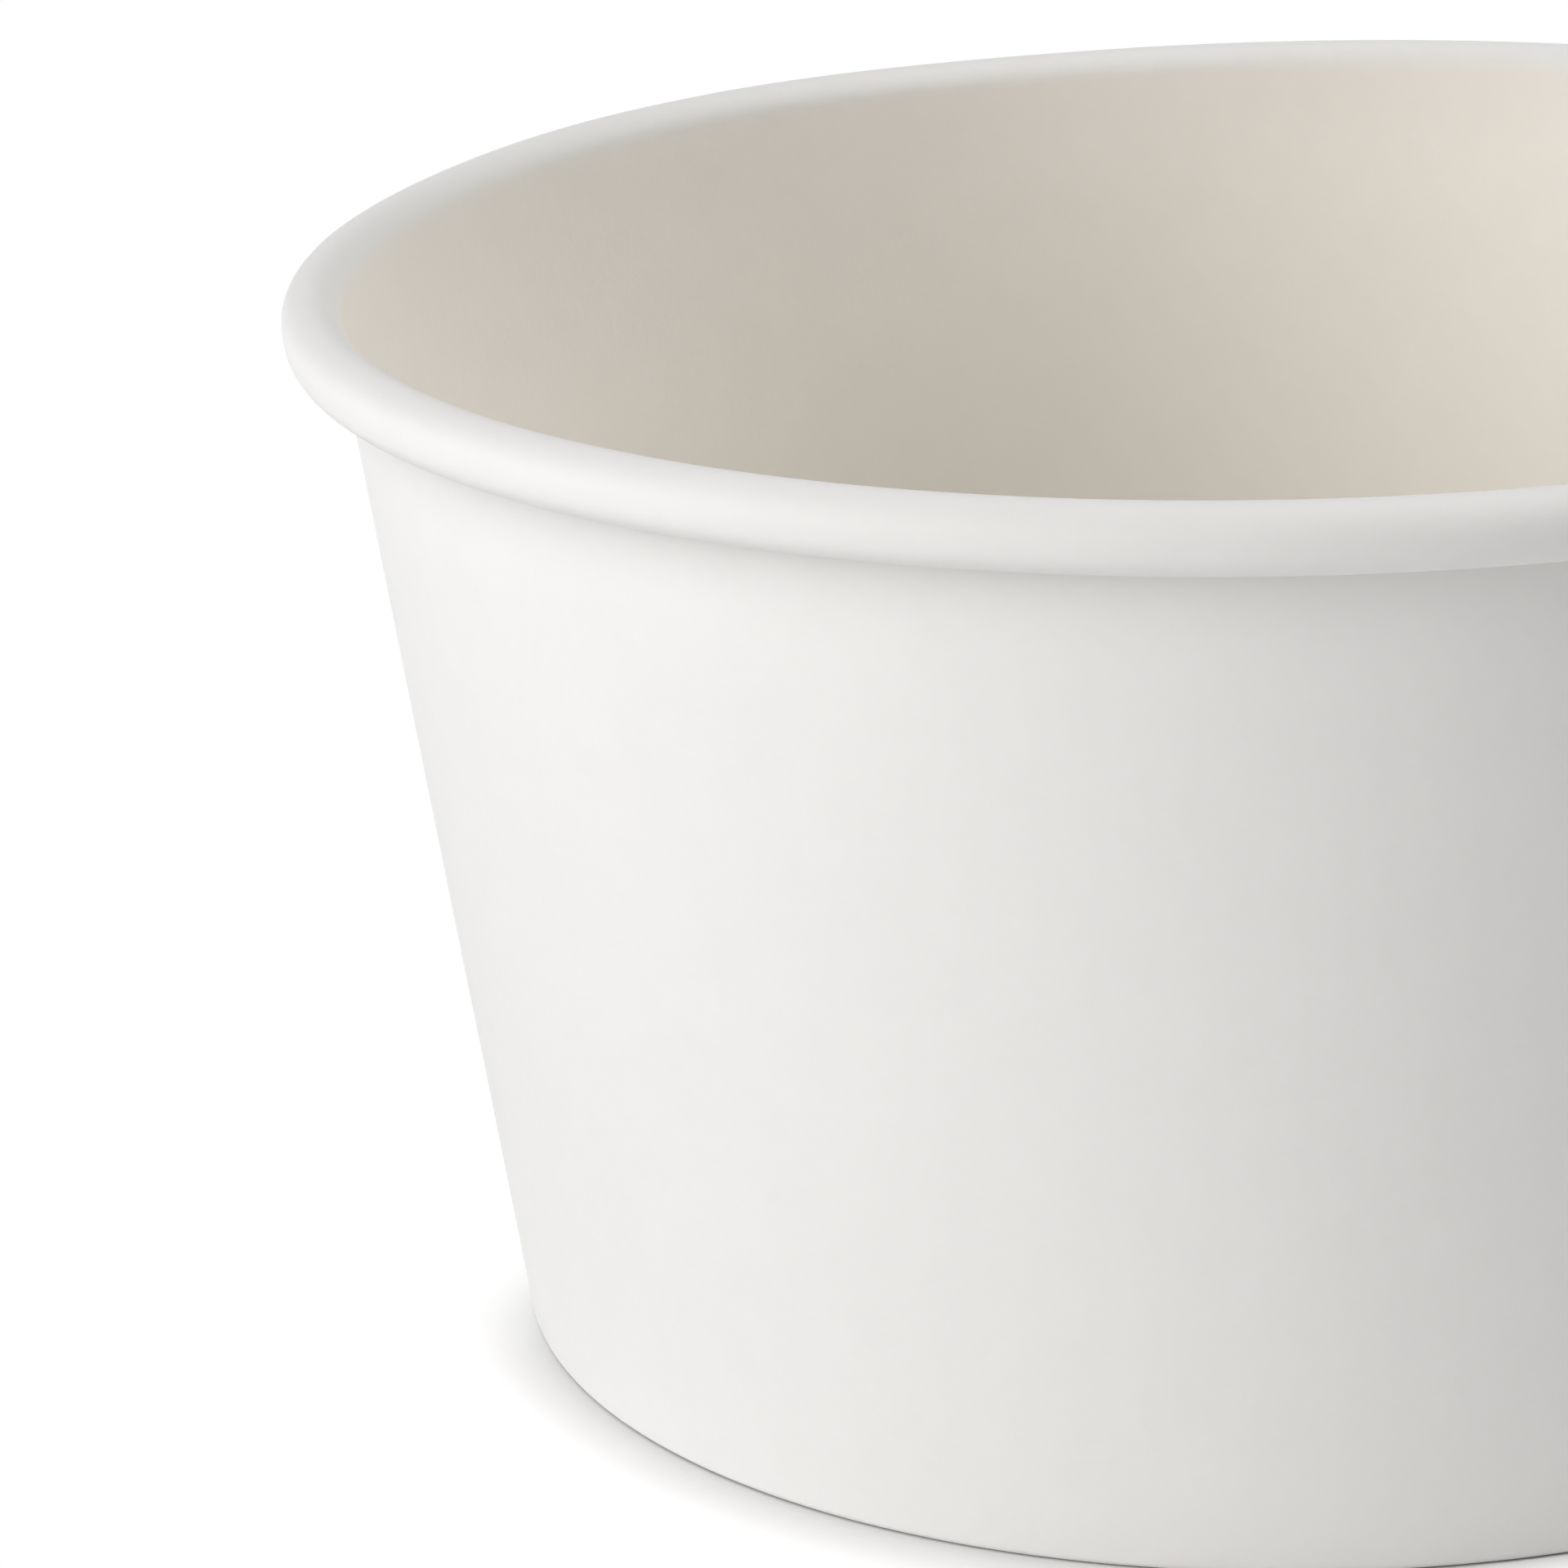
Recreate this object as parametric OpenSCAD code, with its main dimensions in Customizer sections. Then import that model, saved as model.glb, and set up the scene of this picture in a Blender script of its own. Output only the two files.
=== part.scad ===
// Paper soup container: a conical sidewall blank with a rolled rim, a lap seam and a foot folded
// round the turned-down edge of a recessed base. Millimetres, +Z up, standing on Z = 0.
// The folded sections are drawn in the wall's own frame: n runs outward from the wall's inner face,
// w runs up along the wall from the middle of the foot fold.

/* [Overall] */
// Outside diameter over the rolled rim
rim_d = 115; // [106:0.5:130]
// Height from the foot to the top of the rim
height = 62.5; // [45:0.5:120]
// Diameter of the ring that it stands on, at the middle of the foot fold
foot_d = 91.4; // [80:0.1:98]

/* [Board] */
// Thickness of the sidewall board
wall_t = 0.4; // [0.3:0.02:0.5]
// Thickness of the base board
base_t = 0.4; // [0.3:0.02:0.5]
// Seal film left between two boards
seal_gap = 0.05; // [0.02:0.01:0.1]

/* [Rolled rim] */
// Outside radius of the roll's two turns
roll_r = 1.7; // [1.3:0.05:2.2]
// Straight stretch pressed into the roll's outer side
roll_flat = 0.45; // [0.2:0.05:1.5]
// Gap between the roll's tucked edge and the wall
roll_gap = 0.2; // [0.1:0.05:0.4]

/* [Lap seam] */
// Width of the lap, measured round the rim
lap_w = 8; // [5:0.5:12]
// How far the outer ply stands out from the ply under it
lap_rise = 0.32; // [0.2:0.02:0.36]
// How far the roll stands out over the lap
roll_rise = 0.25; // [0.15:0.05:0.35]

/* [Base and foot] */
// Height of the base's upper face above the foot
base_lift = 8; // [7.5:0.5:14]
// Inside radius of the base's turned-down edge
base_bend = 0.8; // [0.4:0.1:1.2]
// Height of the hem folded up inside the base's skirt
hem_h = 5.5; // [3:0.25:6]
// How far the foot fold is pressed flat
foot_press = 0.03; // [0.02:0.01:0.06]

/* [Hidden] */
$fn = 128;
white = [0.93, 0.93, 0.92];
cream = [0.9, 0.87, 0.8];
// The foot fold wraps wall, film, skirt, film and hem
fold_w = 2 * wall_t + base_t + 2 * seal_gap;
fold_n = wall_t - fold_w / 2;
fold_z = fold_w / 2 - foot_press;
// Lean of the wall, from the fold's middle to the middle of the roll's upper turn
to_r = rim_d / 2 - roll_r - foot_d / 2;
to_z = height - roll_r - fold_z;
to_n = roll_r - fold_n;
roll_hi = sqrt(to_r * to_r + to_z * to_z - to_n * to_n);
roll_lo = roll_hi - roll_flat;
lean = atan2(to_r, to_z) - atan2(to_n, roll_hi);
// Where the wall's own frame starts, in radius and height
start_r = foot_d / 2 - fold_n * cos(lean);
start_z = fold_z + fold_n * sin(lean);
// Turned-down edge of the base
bend_r = base_bend + base_t;
bend_n = -seal_gap - bend_r;
bend_z = base_lift - bend_r;
bend_w = (bend_z - start_z + bend_n * sin(lean)) / cos(lean);
bend_at_r = start_r + bend_n * cos(lean) + bend_w * sin(lean);
// The bend's crest stands a hair above the flat, so that the two meet at an angle
crest = 0.002;
// The lap, and the flat stretch over which the outer ply settles back to the round
flat_in = 0.05;
lap_a = lap_w / (rim_d / 2 - 2 * roll_r) * 180 / PI;
flat_a = acos((start_r - flat_in) / (start_r + lap_rise));
settle_a = lap_a + flat_a;
flat_lean = atan(tan(lean) * cos(flat_a));

module in_wall_frame() {
    translate([start_r, start_z])
        rotate(-lean)
            children();
}

module block(n0, n1, w0, w1) {
    translate([n0, w0])
        square([n1 - n0, w1 - w0]);
}

module ring(n, w, r, t) {
    translate([n, w])
        difference() {
            circle(r);
            circle(r - t);
        }
}

// Axis side of the flat stretch: a leaning plane that leaves the raised face at the lap's end
module settle_side(n) {
    rotate([0, 0, settle_a])
        translate([(start_r + (n + lap_rise) / cos(lean)) * cos(flat_a), 0, start_z])
            rotate([0, flat_lean, 0])
                translate([-2 * rim_d, -rim_d, -height])
                    cube([2 * rim_d, 2 * rim_d, 3 * height]);
}

// Rolled rim: an upper turn, a straight outer side and a lower turn tucked in under it
module roll_section() {
    intersection() {
        ring(roll_r, roll_hi, roll_r, wall_t);
        block(-1, 3 * roll_r, roll_hi, roll_hi + 2 * roll_r);
    }
    block(2 * roll_r - wall_t, 2 * roll_r, roll_lo, roll_hi);
    intersection() {
        ring(roll_r, roll_lo, roll_r, wall_t);
        block(wall_t + roll_gap, 3 * roll_r, roll_lo - 2 * roll_r, roll_lo);
    }
}

// Fold under the foot and the hem that stands up inside it
module foot_section() {
    intersection() {
        ring(fold_n, 0, fold_w / 2, wall_t);
        block(-2 * fold_w, 2 * fold_w, -fold_w, 0);
    }
    block(wall_t - fold_w, 2 * wall_t - fold_w, 0, hem_h);
}

module sheet_section() {
    difference() {
        in_wall_frame() {
            block(0, wall_t, 0, roll_hi);
            roll_section();
            foot_section();
        }
        translate([0, -10])
            square([rim_d, 10]);
    }
}

// Outer ply of the lap, from the foot fold up into the roll
module lap_ply() {
    intersection() {
        rotate_extrude(angle = settle_a)
            in_wall_frame()
                block(wall_t / 2, wall_t + lap_rise, 0, roll_lo - 0.6 * roll_r);
        settle_side(wall_t);
    }
}

// Outer ply of the lap where it turns over with the roll
module lap_roll_section() {
    difference() {
        union() {
            translate([roll_r, roll_hi])
                circle(roll_r + roll_rise);
            block(roll_r, 2 * roll_r + roll_rise, roll_lo, roll_hi);
            translate([roll_r, roll_lo])
                circle(roll_r + roll_rise);
        }
        translate([roll_r, roll_hi])
            circle(roll_r - wall_t / 2);
        translate([roll_r, roll_lo])
            circle(roll_r - wall_t / 2);
        block(-2 * roll_r, 0.7 * roll_r, roll_lo - 2 * roll_r, roll_hi);
        block(-2 * roll_r, wall_t / 2, roll_lo, roll_hi + 2 * roll_r);
    }
}

// Relief behind the outer ply, where the inner ply has ended
module lap_relief() {
    intersection() {
        rotate([0, 0, lap_a])
            rotate_extrude(angle = flat_a)
                in_wall_frame()
                    block(-3, wall_t + lap_rise, bend_w + bend_r + 1, roll_lo);
        settle_side(0);
    }
}

module sidewall() {
    color(white)
        difference() {
            union() {
                rotate_extrude()
                    sheet_section();
                lap_ply();
                rotate_extrude(angle = lap_a)
                    in_wall_frame()
                        lap_roll_section();
            }
            lap_relief();
        }
}

// Everything below a face of the base and inside its skirt: n_in and r_in place the skirt and bend
module base_under(n_in, r_in, z_top, drop) {
    in_wall_frame() {
        block(-3 * bend_r - drop, n_in, -drop, bend_w);
        translate([bend_n, bend_w])
            circle(r_in);
    }
    translate([0, bend_z - base_bend - drop])
        square([bend_at_r, z_top - bend_z + base_bend + drop]);
}

module base_section() {
    difference() {
        base_under(-seal_gap, bend_r, base_lift - crest, 0);
        base_under(-seal_gap - base_t, base_bend, base_lift - base_t - crest, 1);
    }
}

module base_disc() {
    color(cream)
        rotate_extrude()
            base_section();
}

sidewall();
base_disc();
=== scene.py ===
"""Paper soup container: its two boards, their finish, the stage and the camera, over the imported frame."""
import math

import bmesh
import bpy
from bpy.props import FloatProperty, FloatVectorProperty, IntProperty, PointerProperty
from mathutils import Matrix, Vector


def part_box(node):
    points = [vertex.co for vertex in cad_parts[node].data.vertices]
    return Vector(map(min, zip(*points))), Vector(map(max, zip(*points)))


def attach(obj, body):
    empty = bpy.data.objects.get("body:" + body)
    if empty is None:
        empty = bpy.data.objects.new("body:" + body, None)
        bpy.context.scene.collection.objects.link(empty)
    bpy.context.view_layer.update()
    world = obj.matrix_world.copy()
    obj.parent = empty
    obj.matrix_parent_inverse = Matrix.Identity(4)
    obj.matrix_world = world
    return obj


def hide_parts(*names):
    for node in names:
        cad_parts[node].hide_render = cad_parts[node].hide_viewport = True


bl_info = {
    "name": "Paper soup container",
    "version": (1, 0, 0),
    "blender": (4, 5, 0),
    "location": "3D View > Sidebar > Container",
    "description": "Builds a paper soup container from its two boards, with a stage and camera",
    "category": "Add Mesh",
}

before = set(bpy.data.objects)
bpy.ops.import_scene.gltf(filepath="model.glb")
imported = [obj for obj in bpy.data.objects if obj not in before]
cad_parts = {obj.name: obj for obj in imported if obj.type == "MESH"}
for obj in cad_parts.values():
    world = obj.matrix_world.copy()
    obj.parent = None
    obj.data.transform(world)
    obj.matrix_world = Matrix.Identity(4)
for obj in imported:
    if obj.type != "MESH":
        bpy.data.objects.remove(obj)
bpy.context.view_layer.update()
SIDEWALL_LOW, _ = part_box("sidewall")

# Steps of the sidewall's section and of the base's
WALL_STEPS = 28
ROLL_STEPS = 18
TUCK_STEPS = 13
FOLD_STEPS = 10
HEM_STEPS = 2
KNURL_CUTS = 2
SKIRT_STEPS = 5
BEND_STEPS = 8
DISC_STEPS = 16

# Points nearer than this are one point
SAME_POINT = 1e-6
# Turn, past the inner ply's end, over which the base's edge and the hem come to follow the outer ply
GIVE_TURN = 0.05
# Half the turn of the rim that rises by the whole swell
SWELL_TURN = 0.06
# Share of the hem's height over which its ribs fade in from the fold
KNURL_FADE = 1 / 3
# Faces that meet at a larger angle than this keep a sharp edge
SHARP_ANGLE = math.radians(40)

# Noise scales of the paper grain, per metre
FIBRE_SCALE = 1400.0
FELT_SCALE = 260.0
CLOUD_SCALE = 45.0
# Bump of the paper grain, and the roughness of the board with its spread
GRAIN_BUMP = 0.3
GRAIN_DEPTH = 0.00006
ROUGHNESS = 0.56
ROUGHNESS_SPREAD = 0.25
# The lining fades in between these depths under the rim's top, and within these distances of the inner face
LINING_DEPTHS = (0.0006, 0.0021)
LINING_OFFSETS = (0.0012, 0.0008)

# Name, place, size and tint of each softbox: its power is the stage's value of that name
SOFTBOXES = (
    ("key", (-0.796, -0.668, 0.63), 1.1, (1, 0.978, 0.968)),
    ("left", (-1.142, 0.201, 0.341), 0.9, (0.64, 0.82, 1)),
    ("right", (0.838, 0.305, 0.833), 0.9, (1, 1, 1)),
    ("under", (0.3, -0.3, -0.9), 0.9, (1, 1, 1)),
)
LAMP_AIM = Vector((0, 0, 0.03))
WHITE = (1, 1, 1, 1)

# The floor: its radius, the clear disc under the base, and where the shaded floor turns plain white
FLOOR_RADIUS = 4.0
CLEAR_RADIUS = 0.045
WHITE_FROM, WHITE_FULL = 0.058, 0.075
# The contact shade: its reach, its tones, and the shade at which the floor is darkest
SHADE_REACH = 0.0085
LIT_TONE, SHADED_TONE = 1.65, 0.3
SHADE_FULL = 0.9
# Where the contact shade weakens from the camera's side to the back, and its share there
SHADE_BACK_Y, SHADE_FRONT_Y = 0.010, -0.018
SHADE_AT_BACK = 0.3


# Values that a user would change


class ContainerSizes(bpy.types.PropertyGroup):
    """Sizes of the two boards"""

    rim_diameter: FloatProperty(
        name="Rim diameter",
        description="Outside diameter over the rolled rim",
        default=-2 * SIDEWALL_LOW[0],
        unit="LENGTH",
    )
    height: FloatProperty(
        name="Height", description="From the foot to the top of the rim", default=0.0625, unit="LENGTH"
    )
    foot_diameter: FloatProperty(
        name="Foot diameter",
        description="Diameter of the ring that it stands on, at the middle of the fold",
        default=0.0914,
        unit="LENGTH",
    )
    board: FloatProperty(
        name="Board", description="Thickness of the sidewall board", default=0.0004, unit="LENGTH"
    )
    base_board: FloatProperty(
        name="Base board", description="Thickness of the base board", default=0.0004, unit="LENGTH"
    )
    seal: FloatProperty(
        name="Seal film", description="Film left between two boards", default=0.00005, unit="LENGTH"
    )
    roll_radius: FloatProperty(
        name="Roll radius",
        description="Outside radius of the rolled rim",
        default=0.0017,
        unit="LENGTH",
    )
    roll_flat: FloatProperty(
        name="Roll flat",
        description="Straight stretch on the roll's outer side",
        default=0.00045,
        unit="LENGTH",
    )
    roll_tuck: FloatProperty(
        name="Roll tuck",
        description="How far the roll's edge is turned in under it",
        default=math.radians(128),
        subtype="ANGLE",
    )
    lap_width: FloatProperty(
        name="Lap width",
        description="Width of the side seam's lap, round the rim",
        default=0.008,
        unit="LENGTH",
    )
    lap_rise: FloatProperty(
        name="Lap rise",
        description="How far the outer ply stands out at its edge",
        default=0.00032,
        unit="LENGTH",
    )
    base_lift: FloatProperty(
        name="Base lift", description="Height of the base's upper face", default=0.008, unit="LENGTH"
    )
    base_bend: FloatProperty(
        name="Base bend",
        description="Inside radius of the base's turned-down edge",
        default=0.0008,
        unit="LENGTH",
    )
    hem_height: FloatProperty(
        name="Hem height",
        description="Height of the hem inside the foot",
        default=0.0055,
        unit="LENGTH",
    )
    foot_press: FloatProperty(
        name="Foot press",
        description="How far the foot fold is pressed flat",
        default=0.00003,
        unit="LENGTH",
    )
    knurls: IntProperty(name="Knurls", description="Ribs pressed into the hem, round the foot", default=190)
    knurl_depth: FloatProperty(
        name="Knurl depth",
        description="How far the ribs stand in from the hem",
        default=0.00012,
        unit="LENGTH",
    )
    swell: FloatProperty(
        name="Rim swell",
        description="How far the rim rises at one place, as a soft rim does",
        default=0.0003,
        unit="LENGTH",
    )
    swell_azimuth: FloatProperty(
        name="Swell azimuth",
        description="Where the rim rises",
        default=math.radians(134),
        subtype="ANGLE",
    )
    swell_reach: FloatProperty(
        name="Swell reach",
        description="How far along the rim the rise fades out",
        default=0.027,
        unit="LENGTH",
    )
    columns: IntProperty(
        name="Columns", description="Steps round each half of the container", default=180, min=24
    )


class ContainerFinish(bpy.types.PropertyGroup):
    """Colours and grain of the boards"""

    outside: FloatVectorProperty(
        name="Outside",
        description="White face of the board",
        subtype="COLOR",
        default=(0.86, 0.855, 0.84),
    )
    inside: FloatVectorProperty(
        name="Inside",
        description="Lined face of the board",
        subtype="COLOR",
        default=(0.876, 0.844, 0.785),
    )
    cut_edge: FloatVectorProperty(
        name="Cut edge",
        description="Raw fibre at the board's edges",
        subtype="COLOR",
        default=(0.74, 0.72, 0.67),
    )
    grain: FloatProperty(name="Grain", description="Strength of the paper grain", default=0.05)
    sheen: FloatProperty(name="Sheen", description="Specular level of the coated board", default=0.08)


class ContainerStage(bpy.types.PropertyGroup):
    """Floor, lamps and camera"""

    floor: FloatVectorProperty(
        name="Floor", description="Colour of the floor", subtype="COLOR", default=(0.86, 0.86, 0.86)
    )
    key_power: FloatProperty(
        name="Key power", description="Power of the lamp at the front left", default=13.9, unit="POWER"
    )
    left_power: FloatProperty(
        name="Left power", description="Power of the low lamp at the left", default=1.5, unit="POWER"
    )
    right_power: FloatProperty(
        name="Right power",
        description="Power of the high lamp at the right",
        default=10.2,
        unit="POWER",
    )
    under_power: FloatProperty(
        name="Under power",
        description="Power of the lamp under the floor, which lights only the recess under the base",
        default=9.0,
        unit="POWER",
    )
    camera_place: FloatVectorProperty(
        name="Camera place",
        description="Where the camera stands",
        subtype="TRANSLATION",
        default=(0.0, -0.37148, 0.15056),
    )
    camera_turn: FloatVectorProperty(
        name="Camera turn",
        description="How the camera is turned",
        subtype="EULER",
        default=(math.radians(72.0792), math.radians(2.2838), math.radians(3.8680)),
    )
    camera_lens: FloatProperty(name="Focal length", description="In millimetres", default=151.62)


# The wall's own frame: n runs outward from the wall's inner face, w up along the wall


class WallFrame:
    """Places points of the folded section on the half plane at minus X"""

    def __init__(self, s):
        self.top = s.height
        self.fold_width = 2 * s.board + s.base_board + 2 * s.seal
        self.fold_n = s.board - self.fold_width / 2
        fold_z = self.fold_width / 2 - s.foot_press
        to_r = s.rim_diameter / 2 - s.roll_radius - s.foot_diameter / 2
        to_z = s.height - s.roll_radius - fold_z
        to_n = s.roll_radius - self.fold_n
        self.roll_high = math.sqrt(to_r * to_r + to_z * to_z - to_n * to_n)
        self.lean = math.atan2(to_r, to_z) - math.atan2(to_n, self.roll_high)
        self.start_r = s.foot_diameter / 2 - self.fold_n * math.cos(self.lean)
        self.start_z = fold_z + self.fold_n * math.sin(self.lean)
        self.lap_angle = s.lap_width / (s.rim_diameter / 2 - 2 * s.roll_radius)

    def at(self, n, w):
        """The point at n and w"""
        r = self.start_r + n * math.cos(self.lean) + w * math.sin(self.lean)
        z = self.start_z - n * math.sin(self.lean) + w * math.cos(self.lean)
        return Vector((-r, 0, z))

    def of(self, co):
        """n and w of a point at any azimuth"""
        dr = math.hypot(co.x, co.y) - self.start_r
        dz = co.z - self.start_z
        n = dr * math.cos(self.lean) - dz * math.sin(self.lean)
        w = dr * math.sin(self.lean) + dz * math.cos(self.lean)
        return n, w

    def slack(self, azimuth, s):
        """How far the outer ply has moved out from the round, from the lap's edge to the far side"""
        return s.lap_rise * (0.5 + 0.5 * math.cos(azimuth))

    def give(self, azimuth, s):
        """How far the base's edge and the hem follow the outer ply, past the end of the inner one"""
        t = (azimuth - self.lap_angle) / GIVE_TURN
        t = min(max(t, 0), 1)
        return self.slack(azimuth, s) * t * t * (3 - 2 * t)


# Modelling helpers


def start_board(name, at):
    """A new board as one point, in edit mode"""
    bpy.ops.object.select_all(action="DESELECT")
    bpy.ops.mesh.primitive_plane_add(size=0.001)
    board = bpy.context.object
    board.name = board.data.name = name
    bpy.ops.object.mode_set(mode="EDIT")
    bpy.ops.mesh.select_mode(type="VERT")
    bpy.ops.mesh.select_all(action="SELECT")
    bpy.ops.mesh.merge(type="CENTER")
    bpy.ops.transform.translate(value=at)
    return board


def draw_on(start, end, steps):
    """Extrudes the picked point from start to end in equal steps"""
    for _ in range(steps):
        bpy.ops.mesh.extrude_region_move(TRANSFORM_OT_translate={"value": (end - start) / steps})


def bend_on(centre, angle, steps):
    """Bends the section on round centre, from the picked point"""
    bpy.ops.mesh.spin(steps=steps, angle=angle, center=centre, axis=(0, 1, 0), use_auto_merge=False)


def sweep(angle, steps):
    """Sweeps the picked section round the axis: plus is clockwise seen from above"""
    bpy.ops.mesh.spin(steps=steps, angle=angle, center=(0, 0, 0), axis=(0, 0, 1), use_auto_merge=False)


def pick(board, test, among_picked=False):
    """Picks the points that pass the test, of all points or of those already picked"""
    mesh = bmesh.from_edit_mesh(board.data)
    found = [v for v in mesh.verts if (v.select or not among_picked) and test(v.co)]
    if not found:
        raise RuntimeError(f"no points picked on {board.name}")
    bpy.ops.mesh.select_all(action="DESELECT")
    mesh = bmesh.from_edit_mesh(board.data)
    places = {v.index for v in found}
    mesh.verts.ensure_lookup_table()
    for i in places:
        mesh.verts[i].select = True
    mesh.select_flush(True)
    bmesh.update_edit_mesh(board.data)


def move_out(board, amount):
    """Moves each point outward from the axis by amount(point)"""
    mesh = bmesh.from_edit_mesh(board.data)
    for v in mesh.verts:
        out = Vector((v.co.x, v.co.y, 0))
        if out.length > SAME_POINT:
            v.co += out.normalized() * amount(v.co)
    bmesh.update_edit_mesh(board.data)


def azimuth_of(co):
    """Turn round the axis, from plus X"""
    return math.atan2(co.y, co.x)


def face_out(board, height):
    """Turns the faces so that the ones at that height look away from the axis"""
    bpy.ops.mesh.select_all(action="SELECT")
    bpy.ops.mesh.remove_doubles(threshold=SAME_POINT)
    bpy.ops.mesh.normals_make_consistent(inside=False)
    mesh = bmesh.from_edit_mesh(board.data)
    probe = min(mesh.faces, key=lambda f: abs(f.calc_center_median().z - height))
    if probe.normal.xy.dot(probe.calc_center_median().xy) < 0:
        bpy.ops.mesh.flip_normals()
    bpy.ops.object.mode_set(mode="OBJECT")


def swell_rim(board, s):
    """Lifts the rim a little at one place, and less and less round it"""
    bpy.ops.object.mode_set(mode="EDIT")
    top = s.height - 2 * s.roll_radius
    pick(board, lambda co: co.z > top and abs(azimuth_of(co) - s.swell_azimuth) < SWELL_TURN)
    bpy.ops.transform.translate(
        value=(0, 0, s.swell),
        use_proportional_edit=True,
        proportional_edit_falloff="SMOOTH",
        proportional_size=s.swell_reach,
    )
    bpy.ops.object.mode_set(mode="OBJECT")


def knurl_hem(board, wall, s):
    """Presses upright ribs into the hem, which stand towards the axis and fade out at the fold"""

    def on_hem(co):
        n, w = wall.of(co)
        return n < wall.fold_n and w > -s.seal

    def rib(co):
        n, w = wall.of(co)
        rise = min(max(w / (KNURL_FADE * s.hem_height), 0), 1) if n < wall.fold_n else 0
        return -s.knurl_depth * rise * (0.5 + 0.5 * math.sin(s.knurls * azimuth_of(co)))

    bpy.ops.object.mode_set(mode="EDIT")
    pick(board, on_hem)
    bpy.ops.mesh.subdivide(number_cuts=KNURL_CUTS)
    move_out(board, rib)
    bpy.ops.object.mode_set(mode="OBJECT")


def thicken(board, thickness, materials):
    """Gives the board its thickness: front face, back face and cut edge each get a material"""
    for m in materials:
        board.data.materials.append(m)
    solid = board.modifiers.new("Thickness", "SOLIDIFY")
    solid.thickness = thickness
    solid.offset = 0
    solid.use_even_offset = True
    solid.material_offset = 1
    solid.material_offset_rim = 2
    bpy.ops.object.modifier_apply(modifier=solid.name)
    bpy.ops.object.shade_smooth_by_angle(angle=SHARP_ANGLE)


def press_flat(board):
    """Presses what lies under the floor flat onto it"""
    bpy.ops.object.mode_set(mode="EDIT")
    pick(board, lambda co: co.z < 0)
    bpy.ops.transform.resize(value=(1, 1, 0), center_override=(0, 0, 0))
    bpy.ops.object.mode_set(mode="OBJECT")


# Shader groups and materials


def new_group(name, inputs, outputs):
    """A shader group with its input and output nodes, or the one that is already there"""
    old = bpy.data.node_groups.get(name)
    if old:
        return old, None, None
    group = bpy.data.node_groups.new(name, "ShaderNodeTree")
    for label, value in inputs:
        socket = group.interface.new_socket(label, in_out="INPUT", socket_type="NodeSocketFloat")
        socket.default_value = value
    for label in outputs:
        group.interface.new_socket(label, in_out="OUTPUT", socket_type="NodeSocketFloat")
    return group, group.nodes.new("NodeGroupInput"), group.nodes.new("NodeGroupOutput")


def wire(tree, to_socket, from_socket):
    """Links one socket to another"""
    tree.links.new(from_socket, to_socket)


def put(tree, kind, values=None, links=None, **settings):
    """Adds a node, sets its settings and input values, and links its inputs"""
    node = tree.nodes.new(kind)
    for key, value in settings.items():
        setattr(node, key, value)
    for key, value in (values or {}).items():
        node.inputs[key].default_value = value
    for key, socket in (links or {}).items():
        tree.links.new(socket, node.inputs[key])
    return node


def calc(tree, operation, a, b=None, c=None):
    """A Math node on sockets or numbers"""
    node = tree.nodes.new("ShaderNodeMath")
    node.operation = operation
    for i, x in enumerate((a, b, c)):
        if x is None:
            continue
        if isinstance(x, bpy.types.NodeSocket):
            tree.links.new(x, node.inputs[i])
        else:
            node.inputs[i].default_value = x
    return node.outputs[0]


def ramp(tree, value, low, high):
    """0 at low, 1 at high, smooth between"""
    node = put(
        tree,
        "ShaderNodeMapRange",
        values={"From Min": low, "From Max": high, "To Min": 0.0, "To Max": 1.0},
        links={"Value": value},
        interpolation_type="SMOOTHSTEP",
    )
    return node.outputs["Result"]


def noise(tree, place, scale, detail, roughness):
    """Noise that lies evenly round zero"""
    values = {"Scale": scale, "Detail": detail, "Roughness": roughness}
    node = put(tree, "ShaderNodeTexNoise", values, {"Vector": place})
    return calc(tree, "SUBTRACT", node.outputs["Fac"], 0.5)


def seen_rays(tree):
    """1 for the rays that show a surface: from the camera, off a gloss or through a clear piece"""
    path = put(tree, "ShaderNodeLightPath")
    seen = calc(tree, "MAXIMUM", path.outputs["Is Camera Ray"], path.outputs["Is Glossy Ray"])
    return calc(tree, "MAXIMUM", seen, path.outputs["Is Transmission Ray"])


def blend(tree, factor, a, b):
    """Two shaders, mixed by a mask"""
    return put(tree, "ShaderNodeMixShader", links={0: factor, 1: a.outputs[0], 2: b.outputs[0]})


def paper_grain():
    """Fine fibres and soft mottle of coated board"""
    group, start, end = new_group("paper grain", [("Strength", 0.1)], ["Tone", "Height", "Roughness"])
    if start is None:
        return group
    place = put(group, "ShaderNodeTexCoord").outputs["Object"]
    strength = start.outputs["Strength"]
    fine = noise(group, place, FIBRE_SCALE, 4.0, 0.6)
    soft = noise(group, place, FELT_SCALE, 2.0, 0.5)
    broad = noise(group, place, CLOUD_SCALE, 2.0, 0.5)
    mottle = calc(group, "ADD", calc(group, "MULTIPLY", fine, 0.5), calc(group, "MULTIPLY", soft, 0.6))
    tone = calc(group, "MULTIPLY_ADD", calc(group, "MULTIPLY_ADD", broad, 0.4, mottle), strength, 1.0)
    wire(group, end.inputs["Tone"], tone)
    wire(group, end.inputs["Height"], calc(group, "ADD", fine, calc(group, "MULTIPLY", soft, 1.5)))
    rough = calc(group, "MULTIPLY_ADD", soft, ROUGHNESS_SPREAD, ROUGHNESS)
    wire(group, end.inputs["Roughness"], rough)
    return group


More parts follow.
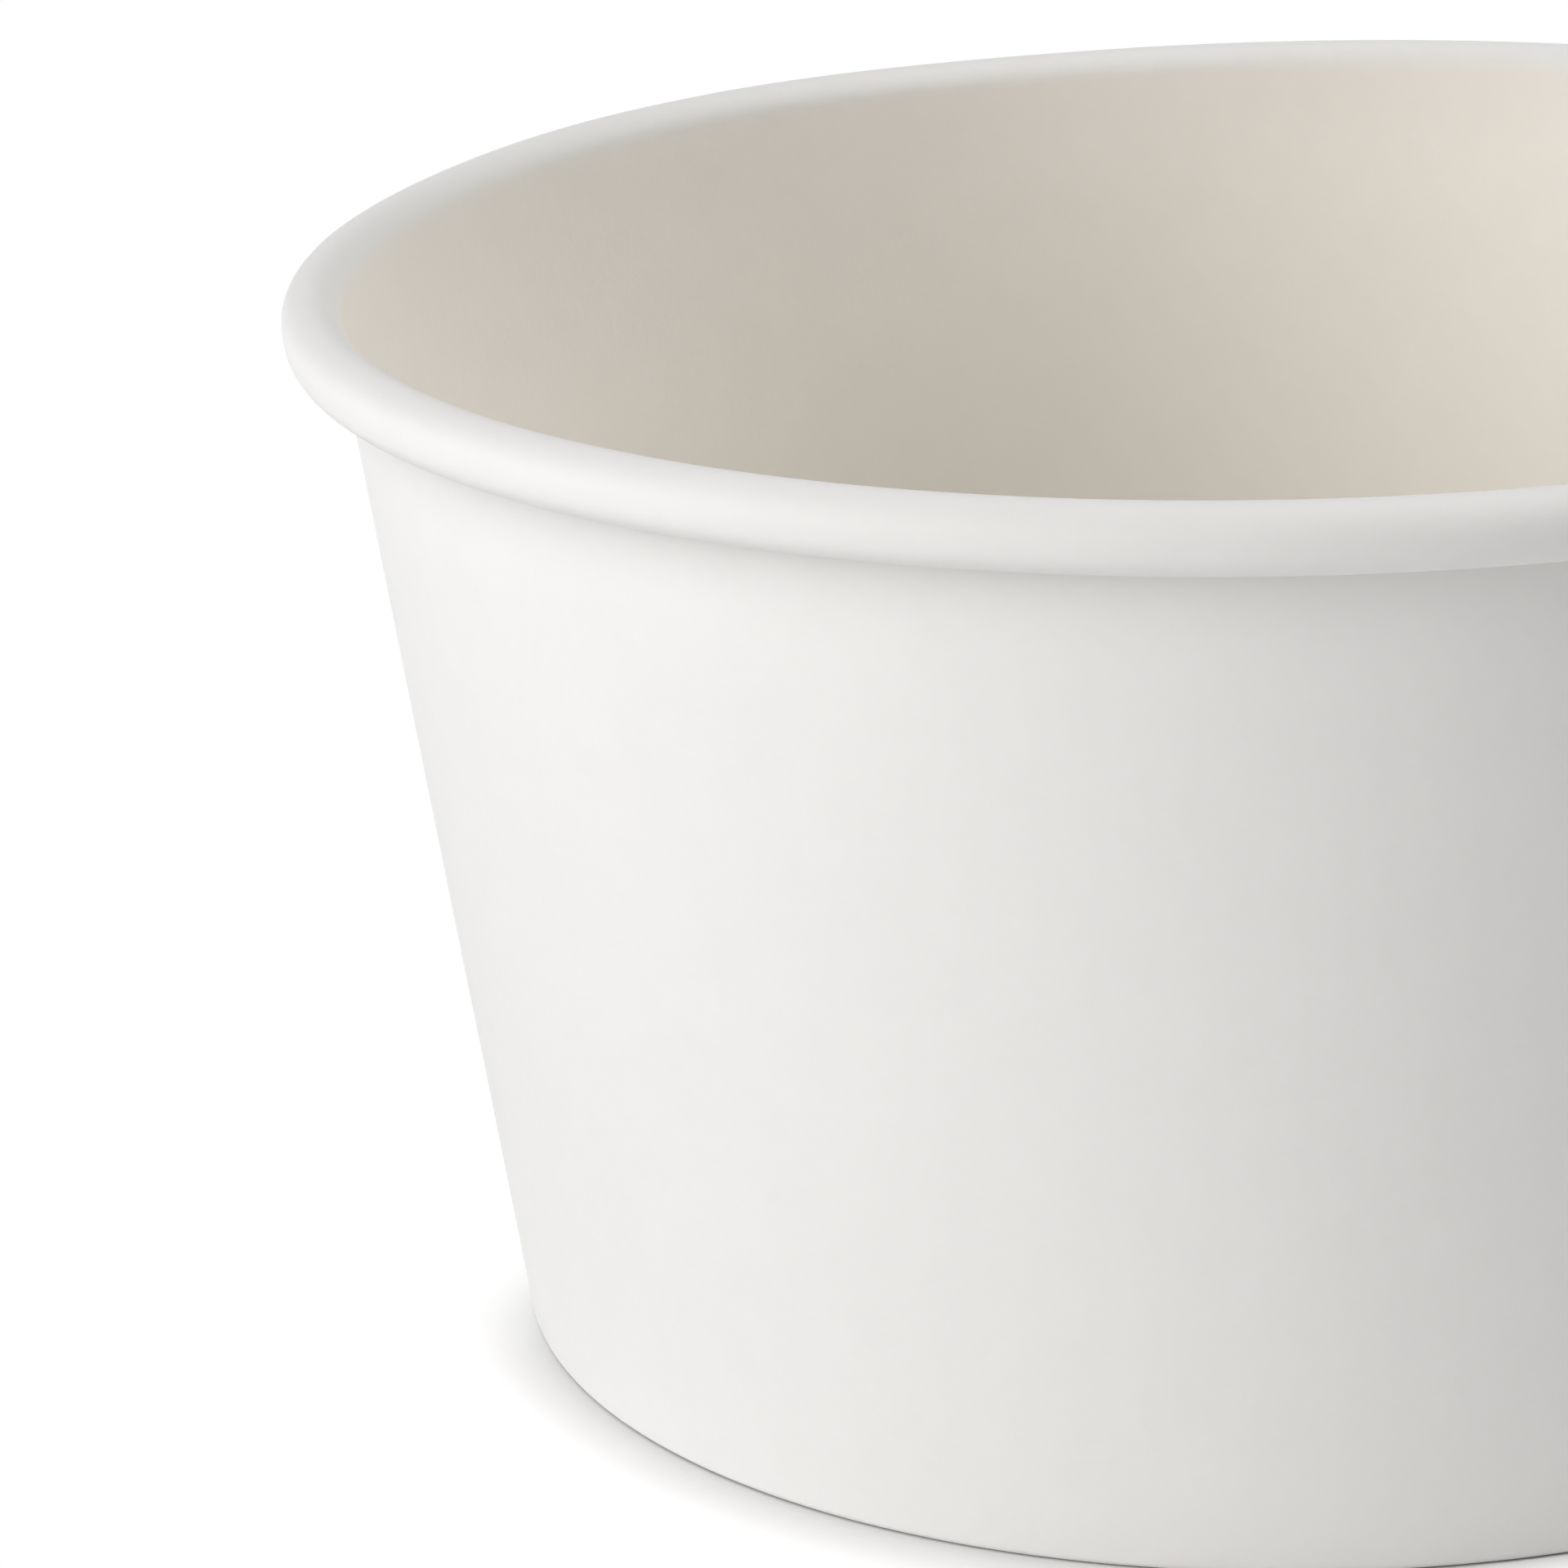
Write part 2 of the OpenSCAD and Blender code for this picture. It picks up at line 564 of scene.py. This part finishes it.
def wall_place(wall):
    """Where a point lies on the wall: its height, and how far it is outward from the wall's inner face"""
    group, start, end = new_group("wall place", [], ["Height", "Offset"])
    if start is None:
        return group
    place = put(group, "ShaderNodeTexCoord").outputs["Object"]
    xyz = put(group, "ShaderNodeSeparateXYZ", links={"Vector": place})
    x, y, z = xyz.outputs
    r = calc(group, "SQRT", calc(group, "ADD", calc(group, "MULTIPLY", x, x), calc(group, "MULTIPLY", y, y)))
    above = calc(group, "SUBTRACT", z, wall.start_z)
    face = calc(group, "MULTIPLY_ADD", above, math.tan(wall.lean), wall.start_r)
    wire(group, end.inputs["Height"], z)
    wire(group, end.inputs["Offset"], calc(group, "SUBTRACT", r, face))
    return group


def mixed(tree, factor, colour_a, colour_b):
    """Two colours, mixed by a mask"""
    node = put(tree, "ShaderNodeMix", links={"Factor": factor}, data_type="RGBA")
    a, b = [i for i in node.inputs if i.type == "RGBA"]
    a.default_value = (*colour_a, 1)
    b.default_value = (*colour_b, 1)
    return [o for o in node.outputs if o.type == "RGBA"][0]


def toned(tree, colour, tone):
    """A colour, as a socket or as three numbers, brightened by the grain's tone"""
    node = put(tree, "ShaderNodeVectorMath", links={"Scale": tone}, operation="SCALE")
    if isinstance(colour, bpy.types.NodeSocket):
        tree.links.new(colour, node.inputs[0])
    else:
        node.inputs[0].default_value = colour
    return node.outputs["Vector"]


def board_material(name, finish, wall, face):
    """White outer face, lined inner face or raw edge of the board"""
    material = bpy.data.materials.new(name)
    material.use_nodes = True
    tree = material.node_tree
    shader = tree.nodes["Principled BSDF"]
    shader.inputs["Specular IOR Level"].default_value = finish.sheen
    grain = put(tree, "ShaderNodeGroup", node_tree=paper_grain())
    grain.inputs["Strength"].default_value = finish.grain
    colour = finish.outside
    if face == "inside":
        spot = put(tree, "ShaderNodeGroup", node_tree=wall_place(wall))
        low, high = (wall.top - depth for depth in LINING_DEPTHS)
        below = ramp(tree, spot.outputs["Height"], low, high)
        within = ramp(tree, spot.outputs["Offset"], *LINING_OFFSETS)
        colour = mixed(tree, calc(tree, "MULTIPLY", below, within), finish.outside, finish.inside)
    elif face == "edge":
        colour = mixed(tree, grain.outputs["Roughness"], finish.cut_edge, finish.outside)
    wire(tree, shader.inputs["Base Color"], toned(tree, colour, grain.outputs["Tone"]))
    wire(tree, shader.inputs["Roughness"], grain.outputs["Roughness"])
    values = {"Strength": GRAIN_BUMP, "Distance": GRAIN_DEPTH}
    bump = put(tree, "ShaderNodeBump", values, {"Height": grain.outputs["Height"]})
    wire(tree, shader.inputs["Normal"], bump.outputs["Normal"])
    return material


def board_materials(finish, wall):
    """The materials of the board's outer face, inner face and cut edge"""
    names = (("white_face", "outside"), ("lined_face", "inside"), ("cut_edge", "edge"))
    return [bpy.data.materials.get(n) or board_material(n, finish, wall, f) for n, f in names]


# Operators


class CONTAINER_OT_sidewall(bpy.types.Operator):
    """Draws the folded section, wraps it round with a lap seam and gives it the board's thickness"""

    bl_idname = "container.sidewall"
    bl_label = "Sidewall board"

    def execute(self, context):
        s = context.scene.container_sizes
        wall = WallFrame(s)
        mid = s.board / 2
        foot = wall.at(mid, 0)
        board = start_board("sidewall_board", foot)
        roll_low = wall.roll_high - s.roll_flat
        roll_n = 2 * s.roll_radius - mid
        hem_n = 2 * wall.fold_n - mid
        draw_on(foot, wall.at(mid, wall.roll_high), WALL_STEPS)
        bend_on(wall.at(s.roll_radius, wall.roll_high), math.pi, ROLL_STEPS)
        draw_on(wall.at(roll_n, wall.roll_high), wall.at(roll_n, roll_low), 1)
        bend_on(wall.at(s.roll_radius, roll_low), s.roll_tuck, TUCK_STEPS)
        pick(board, lambda co: (co - foot).length < SAME_POINT)
        bend_on(wall.at(wall.fold_n, 0), math.pi, FOLD_STEPS)
        draw_on(wall.at(hem_n, 0), wall.at(hem_n, s.hem_height), HEM_STEPS)

        bpy.ops.mesh.select_all(action="SELECT")
        sweep(math.pi, s.columns)
        fold = wall.fold_width / 2 - mid

        def outer_ply(co):
            a = azimuth_of(co)
            n, w = wall.of(co)
            share = min(max((n - wall.fold_n + fold) / (2 * fold), 0), 1)
            if w > 0:
                share = 1.0 if n > wall.fold_n else 0.0
            return wall.give(a, s) * (1 - share) + wall.slack(a, s) * share

        def at_start(co):
            return abs(co.y) < SAME_POINT and co.x < 0

        move_out(board, lambda co: 0.0 if at_start(co) else outer_ply(co))
        pick(board, at_start)
        sweep(-math.pi, s.columns)
        pick(board, lambda co: wall.of(co)[0] > 0 and wall.of(co)[1] > -SAME_POINT, among_picked=True)
        sweep(-wall.lap_angle, max(2, round(wall.lap_angle / math.pi * s.columns)))
        face_out(board, s.height / 2)
        swell_rim(board, s)
        knurl_hem(board, wall, s)
        thicken(board, s.board, board_materials(context.scene.container_finish, wall))
        press_flat(board)
        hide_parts("sidewall")
        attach(board, "root")
        return {"FINISHED"}


class CONTAINER_OT_base(bpy.types.Operator):
    """Draws the base's section with its turned-down edge and sweeps it round"""

    bl_idname = "container.base"
    bl_label = "Base board"

    def execute(self, context):
        s = context.scene.container_sizes
        wall = WallFrame(s)
        mid = s.base_board / 2
        bend = s.base_bend + s.base_board
        bend_n = -s.seal - bend
        bend_z = s.base_lift - bend
        bend_w = (bend_z - wall.start_z + bend_n * math.sin(wall.lean)) / math.cos(wall.lean)
        foot = wall.at(-s.seal - mid, 0)
        board = start_board("base_board", foot)
        draw_on(foot, wall.at(-s.seal - mid, bend_w), SKIRT_STEPS)
        centre = wall.at(bend_n, bend_w)
        bend_on(centre, -(math.pi / 2 + wall.lean), BEND_STEPS)
        edge = centre + Vector((0, 0, bend - mid))
        draw_on(edge, Vector((0, 0, edge.z)), DISC_STEPS)
        bpy.ops.mesh.select_all(action="SELECT")
        sweep(math.pi * 2, 2 * s.columns)
        bpy.ops.mesh.select_all(action="SELECT")
        bpy.ops.mesh.remove_doubles(threshold=SAME_POINT)

        def follow(co):
            n, _ = wall.of(co)
            return wall.give(azimuth_of(co), s) if co.y > 0 and n > bend_n else 0.0

        move_out(board, follow)
        face_out(board, s.base_lift / 3)
        white, lined, edge_finish = board_materials(context.scene.container_finish, wall)
        thicken(board, s.base_board, (lined, white, edge_finish))
        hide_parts("base_disc")
        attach(board, "root")
        return {"FINISHED"}


class CONTAINER_OT_stage(bpy.types.Operator):
    """Sets the floor, the lamps and the camera"""

    bl_idname = "container.stage"
    bl_label = "Stage and camera"

    def execute(self, context):
        t = context.scene.container_stage
        scene = context.scene
        bpy.ops.object.select_all(action="DESELECT")
        bpy.ops.mesh.primitive_circle_add(vertices=96, radius=FLOOR_RADIUS, fill_type="NGON")
        floor = bpy.context.object
        floor.name = floor.data.name = "floor"
        floor.data.materials.append(self.floor_material(t))
        for name, place, size, tint in SOFTBOXES:
            self.lamp(f"{name}_softbox", place, size, getattr(t, f"{name}_power"), tint)
        self.white_room(scene)

        bpy.ops.object.select_all(action="DESELECT")
        bpy.ops.object.camera_add(location=t.camera_place, rotation=t.camera_turn)
        camera = bpy.context.object
        camera.name = camera.data.name = "photo_camera"
        camera.data.sensor_width = 36.0
        camera.data.lens = t.camera_lens
        camera.data.clip_start = 0.01
        camera.data.clip_end = 20.0
        scene.camera = camera
        scene.view_settings.view_transform = "Standard"
        return {"FINISHED"}

    def lamp(self, name, place, size, power, tint):
        """A square softbox that looks at the container"""
        bpy.ops.object.select_all(action="DESELECT")
        bpy.ops.object.light_add(type="AREA", location=place)
        lamp = bpy.context.object
        lamp.name = lamp.data.name = name
        lamp.data.size = size
        lamp.data.energy = power
        lamp.data.color = tint
        lamp.rotation_euler = (LAMP_AIM - Vector(place)).to_track_quat("-Z", "Y").to_euler()

    def white_room(self, scene):
        """A background that shows white and gives no light"""
        scene.world = scene.world or bpy.data.worlds.new("Room")
        scene.world.use_nodes = True
        tree = scene.world.node_tree
        tree.nodes.clear()
        dark = put(tree, "ShaderNodeBackground", {"Color": WHITE, "Strength": 0.0})
        white = put(tree, "ShaderNodeBackground", {"Color": WHITE, "Strength": 1.0})
        room = blend(tree, seen_rays(tree), dark, white)
        put(tree, "ShaderNodeOutputWorld", links={"Surface": room.outputs[0]})

    def floor_material(self, t):
        """A matt floor that shows white, apart from the shade close round the foot"""
        material = bpy.data.materials.new("pale_floor")
        material.use_nodes = True
        tree = material.node_tree
        tree.nodes.clear()
        place = put(tree, "ShaderNodeTexCoord").outputs["Object"]
        length = put(tree, "ShaderNodeVectorMath", links={0: place}, operation="LENGTH").outputs["Value"]
        white = put(tree, "ShaderNodeEmission", {"Color": WHITE, "Strength": 1.0})

        # Shade near the foot, from the upper side alone
        y = put(tree, "ShaderNodeSeparateXYZ", links={"Vector": place}).outputs["Y"]
        front = ramp(tree, y, SHADE_BACK_Y, SHADE_FRONT_Y)
        front = calc(tree, "MULTIPLY_ADD", front, 1.0 - SHADE_AT_BACK, SHADE_AT_BACK)
        corner = put(tree, "ShaderNodeAmbientOcclusion", {"Distance": SHADE_REACH}, samples=16).outputs["AO"]
        shade = calc(tree, "MULTIPLY", calc(tree, "SUBTRACT", 1.0, corner), front)
        tones = {"From Min": 0.0, "From Max": SHADE_FULL, "To Min": LIT_TONE, "To Max": SHADED_TONE}
        tone = put(tree, "ShaderNodeMapRange", tones, {"Value": shade})
        near = put(tree, "ShaderNodeBsdfDiffuse", links={"Color": tone.outputs["Result"]})
        shown = blend(tree, ramp(tree, length, WHITE_FROM, WHITE_FULL), near, white)
        back = put(tree, "ShaderNodeNewGeometry").outputs["Backfacing"]
        shown = blend(tree, back, shown, white)

        # Other rays meet a matt floor, and the disc under the base lets light through
        matt = put(tree, "ShaderNodeBsdfDiffuse", {"Color": (*t.floor, 1)})
        floor = blend(tree, seen_rays(tree), matt, shown)
        clear = put(tree, "ShaderNodeBsdfTransparent")
        floor = blend(tree, calc(tree, "LESS_THAN", length, CLEAR_RADIUS), floor, clear)
        put(tree, "ShaderNodeOutputMaterial", links={"Surface": floor.outputs[0]})
        return material


class CONTAINER_PT_panel(bpy.types.Panel):
    """Lists the container's steps and values"""

    bl_idname = "CONTAINER_PT_panel"
    bl_label = "Paper soup container"
    bl_space_type = "VIEW_3D"
    bl_region_type = "UI"
    bl_category = "Container"

    def draw(self, context):
        scene = context.scene
        for step in STEPS:
            self.layout.operator(step.bl_idname)
        for values in (scene.container_sizes, scene.container_finish, scene.container_stage):
            box = self.layout.box()
            for name in values.__annotations__:
                box.prop(values, name)


STEPS = (CONTAINER_OT_sidewall, CONTAINER_OT_base, CONTAINER_OT_stage)
VALUES = (ContainerSizes, ContainerFinish, ContainerStage)


def register():
    for cls in (*VALUES, *STEPS, CONTAINER_PT_panel):
        bpy.utils.register_class(cls)
    bpy.types.Scene.container_sizes = PointerProperty(type=ContainerSizes)
    bpy.types.Scene.container_finish = PointerProperty(type=ContainerFinish)
    bpy.types.Scene.container_stage = PointerProperty(type=ContainerStage)


def unregister():
    del bpy.types.Scene.container_stage
    del bpy.types.Scene.container_finish
    del bpy.types.Scene.container_sizes
    for cls in reversed((*VALUES, *STEPS, CONTAINER_PT_panel)):
        bpy.utils.unregister_class(cls)


def main():
    register()
    bpy.ops.container.sidewall()
    bpy.ops.container.base()
    bpy.ops.container.stage()


if __name__ == "__main__":
    main()
